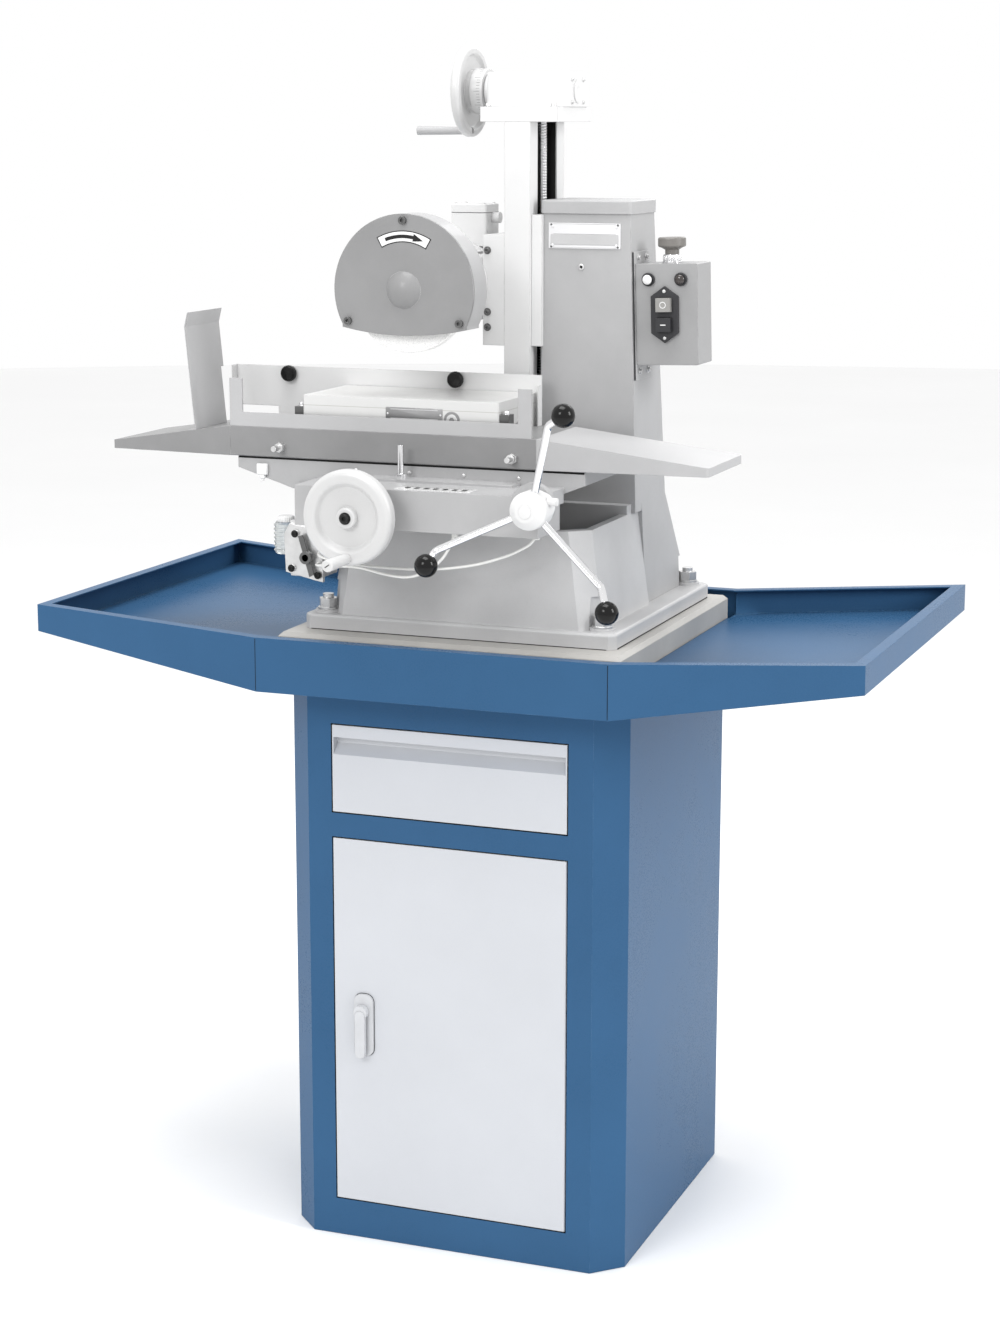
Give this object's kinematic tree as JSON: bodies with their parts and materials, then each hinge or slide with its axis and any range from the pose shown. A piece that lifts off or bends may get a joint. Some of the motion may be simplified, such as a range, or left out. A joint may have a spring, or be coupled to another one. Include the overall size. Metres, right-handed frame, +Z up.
{
  "type": "surface grinder",
  "caption": "Hand-operated surface grinder with magnetic chuck, cross and elevation handwheels and a star handle, on a sheet-steel cabinet stand with drawer, door and swept chip tray.",
  "frame": {"origin": "centre of the cabinet's footprint, on the floor", "axes": "+X to the operator's right, +Y to the back, +Z up"},
  "size_m": [1.262, 0.8846, 1.725],
  "materials": {
    "blue_paint": "gloss powder coat",
    "door_paint": "light grey satin powder coat",
    "machine_grey": "satin casting enamel",
    "guard_grey": "satin sheet enamel",
    "light_casting": "near-white casting enamel",
    "plinth_paint": "warm light grey enamel",
    "bright_steel": "ground and turned",
    "chrome": "polished plate",
    "zinc_steel": "zinc plated",
    "black_plastic": "black gloss",
    "dark_plastic": "dark matt",
    "grey_plastic": "grey",
    "white_plastic": "white",
    "clear_plastic": "translucent",
    "oil_tube": "milky nylon",
    "abrasive": "white aluminium oxide, fine pores",
    "bronze": "machined bronze",
    "plate": "blank two-tone plate"
  },
  "bodies": {
    "root": {"cabinet_shell": "blue_paint", "drawer_runners": "zinc_steel", "hinge_brackets": "zinc_steel", "tray_centre": "blue_paint", "tray_wing_left": "blue_paint", "tray_wing_right": "blue_paint", "plinth": "plinth_paint", "base_casting": "machine_grey", "base_bolts": "zinc_steel", "column": "machine_grey", "column_cap": "machine_grey", "nameplate": "plate", "dovetail_block": "light_casting", "elevating_nut": "bronze", "switch_bracket": "light_casting", "switch_box": "machine_grey", "switch_plate": "dark_plastic", "signal_lamps": "white_plastic"},
    "door": {"cabinet_door": "door_paint", "door_escutcheon": "light_casting"},
    "door_lever": {"door_lever": "light_casting"},
    "drawer": {"drawer": "door_paint"},
    "saddle": {"saddle": "machine_grey", "stop_post": "zinc_steel", "oil_pump": "zinc_steel", "oil_reservoir": "clear_plastic", "oil_lines": "oil_tube"},
    "pump_lever": {"pump_lever": "chrome"},
    "cross_wheel": {"cross_handwheel": "light_casting", "cross_grip": "light_casting", "cross_screw": "bright_steel"},
    "star_handle": {"star_hub": "light_casting", "star_spokes": "chrome", "star_knobs": "black_plastic"},
    "table": {"table": "guard_grey", "table_end_left": "guard_grey", "table_end_right": "guard_grey", "stop_studs": "zinc_steel", "front_guard": "guard_grey", "back_guard": "light_casting", "guard_knobs": "dark_plastic", "magnetic_chuck": "bright_steel", "chuck_clamps": "zinc_steel", "spark_guard": "guard_grey"},
    "chuck_key": {"chuck_key": "zinc_steel"},
    "head": {"vertical_slide": "light_casting", "gear_case": "light_casting", "spindle_motor": "light_casting", "terminal_box": "light_casting", "wheel_guard": "machine_grey", "guard_cover": "guard_grey", "cover_screws": "zinc_steel"},
    "elevation_wheel": {"elevation_handwheel": "light_casting", "elevation_grip": "light_casting"},
    "elevation_screw": {"elevation_screw": "bright_steel"},
    "spindle": {"grinding_wheel": "abrasive", "wheel_arbor": "bright_steel"},
    "start_button": {"start_button": "dark_plastic"},
    "stop_button": {"stop_button": "grey_plastic"},
    "emergency_button": {"emergency_button": "grey_plastic"}
  },
  "joints": [
    {"name": "saddle_slide", "type": "slide", "parent": "root", "child": "saddle", "axis": [0, 1, 0], "range_m": [-0.1, 0.012]},
    {"name": "table_slide", "type": "slide", "parent": "saddle", "child": "table", "axis": [1, 0, 0], "range_m": [-0.15, 0.16]},
    {"name": "head_slide", "type": "slide", "parent": "root", "child": "head", "axis": [0, 0, 1], "range_m": [-0.055, 0.15]},
    {"name": "cross_wheel_turn", "type": "hinge", "parent": "saddle", "child": "cross_wheel", "pos_m": [-0.105, -0.345, 1.09], "axis": [0, 1, 0], "range_deg": [-7205, 869]},
    {"name": "star_handle_turn", "type": "hinge", "parent": "saddle", "child": "star_handle", "pos_m": [0.157, -0.345, 1.113], "axis": [0, 1, 0], "range_deg": [-542.1, 578]},
    {"name": "elevation_wheel_turn", "type": "hinge", "parent": "head", "child": "elevation_wheel", "pos_m": [-0.09, 0.062, 1.66], "axis": [1, 0, 0], "range_deg": [-4955, 13505]},
    {"name": "elevation_screw_turn", "type": "hinge", "parent": "head", "child": "elevation_screw", "pos_m": [0.0235, 0.062, 1.4], "axis": [0, 0, 1], "range_deg": [-4955, 13505]},
    {"name": "spindle_turn", "type": "hinge", "parent": "head", "child": "spindle", "pos_m": [-0.088, -0.165, 1.3878], "axis": [0, 1, 0], "continuous": true},
    {"name": "door_hinge", "type": "hinge", "parent": "root", "child": "door", "pos_m": [0.174, -0.2442, 0.0575], "axis": [0, 0, 1], "range_deg": [0, 100]},
    {"name": "door_lever_turn", "type": "hinge", "parent": "door", "child": "door_lever", "pos_m": [-0.1335, -0.25, 0.352], "axis": [0, -1, 0], "range_deg": [0, 90]},
    {"name": "drawer_slide", "type": "slide", "parent": "root", "child": "drawer", "axis": [0, -1, 0], "range_m": [0, 0.3]},
    {"name": "pump_lever_swing", "type": "hinge", "parent": "saddle", "child": "pump_lever", "pos_m": [-0.223, -0.23, 1.01], "axis": [0, 1, 0], "range_deg": [0, 40], "stiffness_Nm_per_rad": 0.4},
    {"name": "chuck_key_turn", "type": "hinge", "parent": "table", "child": "chuck_key", "pos_m": [-0.016, -0.19, 1.2098], "axis": [0, 1, 0], "range_deg": [0, 180]},
    {"name": "start_button_push", "type": "slide", "parent": "root", "child": "start_button", "axis": [0, 1, 0], "range_m": [0, 0.004], "stiffness_N_per_m": 400},
    {"name": "stop_button_push", "type": "slide", "parent": "root", "child": "stop_button", "axis": [0, 1, 0], "range_m": [0, 0.004], "stiffness_N_per_m": 400},
    {"name": "emergency_button_push", "type": "slide", "parent": "root", "child": "emergency_button", "axis": [0.0291, 0, -0.9996], "range_m": [0, 0.006], "stiffness_N_per_m": 800}
  ],
  "couplings": [
    {"joint": "cross_wheel_turn", "follows": "saddle_slide", "rad_per_m": 1256.6},
    {"joint": "star_handle_turn", "follows": "table_slide", "rad_per_m": 62.5},
    {"joint": "elevation_wheel_turn", "follows": "head_slide", "rad_per_m": 1570.8},
    {"joint": "elevation_screw_turn", "follows": "head_slide", "rad_per_m": 1570.8}
  ]
}
